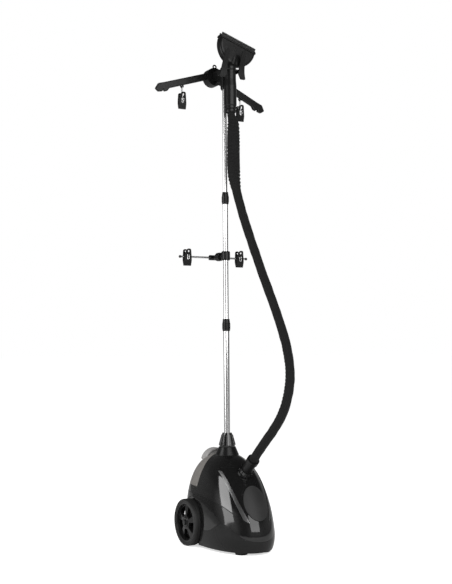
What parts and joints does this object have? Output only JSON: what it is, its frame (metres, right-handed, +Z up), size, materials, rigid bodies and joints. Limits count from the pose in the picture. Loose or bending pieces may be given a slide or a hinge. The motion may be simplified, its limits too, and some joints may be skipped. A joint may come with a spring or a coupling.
{
  "type": "upright garment steamer",
  "caption": "Upright garment steamer: wheeled base with lift-out water tank, telescopic pole, folding hanger, trouser rail with spring clips, and a steam handset on a fabric-covered hose.",
  "frame": {"origin": "on the floor, under the middle of the object's box without its hose", "axes": "+Z up, the front with the foot pedal faces -Y, +X is the object's left"},
  "size_m": [0.415, 0.4695, 1.633],
  "materials": {
    "pan_matte": "satin",
    "body_gloss": "gloss",
    "dark_matte": "matte",
    "trim_metal": "satin",
    "tank_smoke": "gloss",
    "grip_grey": "gloss",
    "rubber": "matte",
    "tyre": "matte",
    "chrome": "polished",
    "steel": "satin",
    "aluminium": "cast",
    "fabric": "woven",
    "silicone": "satin",
    "bristle": "matte"
  },
  "bodies": {
    "base": {"pan": "pan_matte", "lower_body": "body_gloss", "hood": "body_gloss", "front_trims": "trim_metal", "pedal_switch": "dark_matte", "front_feet": "rubber", "cord_gland": "dark_matte", "valve_seat": "dark_matte", "boiler": "aluminium", "thermostat": "dark_matte", "feed_tube": "silicone", "steam_pipe": "aluminium", "wheel_axle": "steel", "lower_tube": "chrome", "pole_socket": "dark_matte", "hose_port": "body_gloss", "hose_sleeve": "body_gloss", "hose_lower": "fabric"},
    "pedal": {"foot_pedal": "pan_matte"},
    "left_wheel": {"wheel_left": "dark_matte", "tyre_left": "tyre"},
    "right_wheel": {"wheel_right": "dark_matte", "tyre_right": "tyre"},
    "tank": {"water_tank": "tank_smoke", "tank_grip": "grip_grey", "tank_valve": "dark_matte"},
    "socket_nut": {"pole_nut": "dark_matte"},
    "bayonet": {"port_ring": "body_gloss"},
    "low_lock": {"lower_lock": "dark_matte"},
    "middle_pole": {"middle_tube": "chrome", "hose_upper": "fabric"},
    "high_lock": {"upper_lock": "dark_matte"},
    "upper_pole": {"upper_tube": "chrome", "hanger_hub": "dark_matte", "drum_pin": "dark_matte", "handset_cradle": "dark_matte"},
    "left_arm": {"arm_left": "dark_matte"},
    "right_arm": {"arm_right": "dark_matte"},
    "rail": {"rail_clamp": "dark_matte", "trouser_rail": "steel"},
    "knob": {"clamp_knob": "dark_matte"},
    "handset": {"handle": "dark_matte", "handset_cuff": "dark_matte", "neck_collar": "dark_matte", "head_front": "dark_matte", "head_rear": "dark_matte", "steam_plate": "steel"},
    "brush": {"brush_bar": "dark_matte", "bristles": "bristle"},
    "left_hanging_clip": {"clip_link_left": "steel", "clip_left_front": "dark_matte"},
    "left_hanging_jaw": {"clip_left_rear": "dark_matte"},
    "left_rail_clip": {"rail_clip_left_front": "dark_matte"},
    "left_rail_jaw": {"rail_clip_left_rear": "dark_matte"},
    "right_hanging_clip": {"clip_link_right": "steel", "clip_right_front": "dark_matte"},
    "right_hanging_jaw": {"clip_right_rear": "dark_matte"},
    "right_rail_clip": {"rail_clip_right_front": "dark_matte"},
    "right_rail_jaw": {"rail_clip_right_rear": "dark_matte"}
  },
  "joints": [
    {"name": "left_wheel_roll", "type": "hinge", "parent": "base", "child": "left_wheel", "pos_m": [0, 0.08, 0.073], "axis": [1, 0, 0], "continuous": true},
    {"name": "right_wheel_roll", "type": "hinge", "parent": "base", "child": "right_wheel", "pos_m": [0, 0.08, 0.073], "axis": [1, 0, 0], "continuous": true},
    {"name": "tank_lift", "type": "slide", "parent": "base", "child": "tank", "axis": [0, 0, 1], "range_m": [0, 0.15]},
    {"name": "pedal_press", "type": "slide", "parent": "base", "child": "pedal", "axis": [0, 0.8829, -0.4695], "range_m": [0, 0.004], "stiffness_N_per_m": 2500, "springref_m": -0.001},
    {"name": "socket_nut_twist", "type": "hinge", "parent": "base", "child": "socket_nut", "pos_m": [0, 0.026, 0.308], "axis": [0, 0, 1], "range_deg": [-90, 90]},
    {"name": "bayonet_twist", "type": "hinge", "parent": "base", "child": "bayonet", "pos_m": [0, -0.09143, 0.24419], "axis": [0, -0.7431, 0.6691], "range_deg": [0, 45]},
    {"name": "low_lock_twist", "type": "hinge", "parent": "base", "child": "low_lock", "pos_m": [0, 0.026, 0.676], "axis": [0, 0, 1], "range_deg": [-90, 90]},
    {"name": "middle_slide", "type": "slide", "parent": "base", "child": "middle_pole", "axis": [0, 0, 1], "range_m": [-0.165, 0], "deforming": ["hose_lower"]},
    {"name": "high_lock_twist", "type": "hinge", "parent": "middle_pole", "child": "high_lock", "pos_m": [0, 0.026, 1.085], "axis": [0, 0, 1], "range_deg": [-90, 90]},
    {"name": "upper_slide", "type": "slide", "parent": "middle_pole", "child": "upper_pole", "axis": [0, 0, 1], "range_m": [-0.3, 0], "deforming": ["hose_upper"]},
    {"name": "left_arm_fold", "type": "hinge", "parent": "upper_pole", "child": "left_arm", "pos_m": [0, 0.086, 1.516], "axis": [0, 1, 0], "range_deg": [0, 35]},
    {"name": "right_arm_fold", "type": "hinge", "parent": "upper_pole", "child": "right_arm", "pos_m": [0, 0.086, 1.516], "axis": [0, -1, 0], "range_deg": [0, 42]},
    {"name": "rail_slide", "type": "slide", "parent": "middle_pole", "child": "rail", "axis": [0, 0, 1], "range_m": [-0.02, 0.05]},
    {"name": "knob_turn", "type": "hinge", "parent": "rail", "child": "knob", "pos_m": [0, 0.068, 0.918], "axis": [0, 1, 0], "range_deg": [-90, 90]},
    {"name": "handset_lift", "type": "slide", "parent": "upper_pole", "child": "handset", "axis": [0, 0, 1], "range_m": [0, 0.04]},
    {"name": "brush_pull", "type": "slide", "parent": "handset", "child": "brush", "axis": [0.309, 0, 0.9511], "range_m": [0, 0.025]},
    {"name": "left_hanging_clip_swing", "type": "hinge", "parent": "left_arm", "child": "left_hanging_clip", "pos_m": [0.1101, 0.1126, 1.4587], "axis": [0, 1, 0], "range_deg": [-40, 40]},
    {"name": "left_hanging_jaw_open", "type": "hinge", "parent": "left_hanging_clip", "child": "left_hanging_jaw", "pos_m": [0.1101, 0.1126, 1.4125], "axis": [1, 0, 0], "range_deg": [0, 8], "stiffness_Nm_per_rad": 0.25, "springref_deg": -5.73},
    {"name": "left_rail_clip_slide", "type": "slide", "parent": "rail", "child": "left_rail_clip", "axis": [1, 0, 0], "range_m": [-0.06, 0.008]},
    {"name": "left_rail_jaw_open", "type": "hinge", "parent": "left_rail_clip", "child": "left_rail_jaw", "pos_m": [0.098, 0.106, 0.918], "axis": [1, 0, 0], "range_deg": [0, 14], "stiffness_Nm_per_rad": 0.25, "springref_deg": -5.73},
    {"name": "right_hanging_clip_swing", "type": "hinge", "parent": "right_arm", "child": "right_hanging_clip", "pos_m": [-0.11664, 0.1003, 1.47356], "axis": [0, 1, 0], "range_deg": [-40, 40]},
    {"name": "right_hanging_jaw_open", "type": "hinge", "parent": "right_hanging_clip", "child": "right_hanging_jaw", "pos_m": [-0.11664, 0.1003, 1.42736], "axis": [1, 0, 0], "range_deg": [0, 8], "stiffness_Nm_per_rad": 0.25, "springref_deg": -5.73},
    {"name": "right_rail_clip_slide", "type": "slide", "parent": "rail", "child": "right_rail_clip", "axis": [1, 0, 0], "range_m": [-0.008, 0.06]},
    {"name": "right_rail_jaw_open", "type": "hinge", "parent": "right_rail_clip", "child": "right_rail_jaw", "pos_m": [-0.098, 0.106, 0.918], "axis": [1, 0, 0], "range_deg": [0, 14], "stiffness_Nm_per_rad": 0.25, "springref_deg": -5.73}
  ]
}
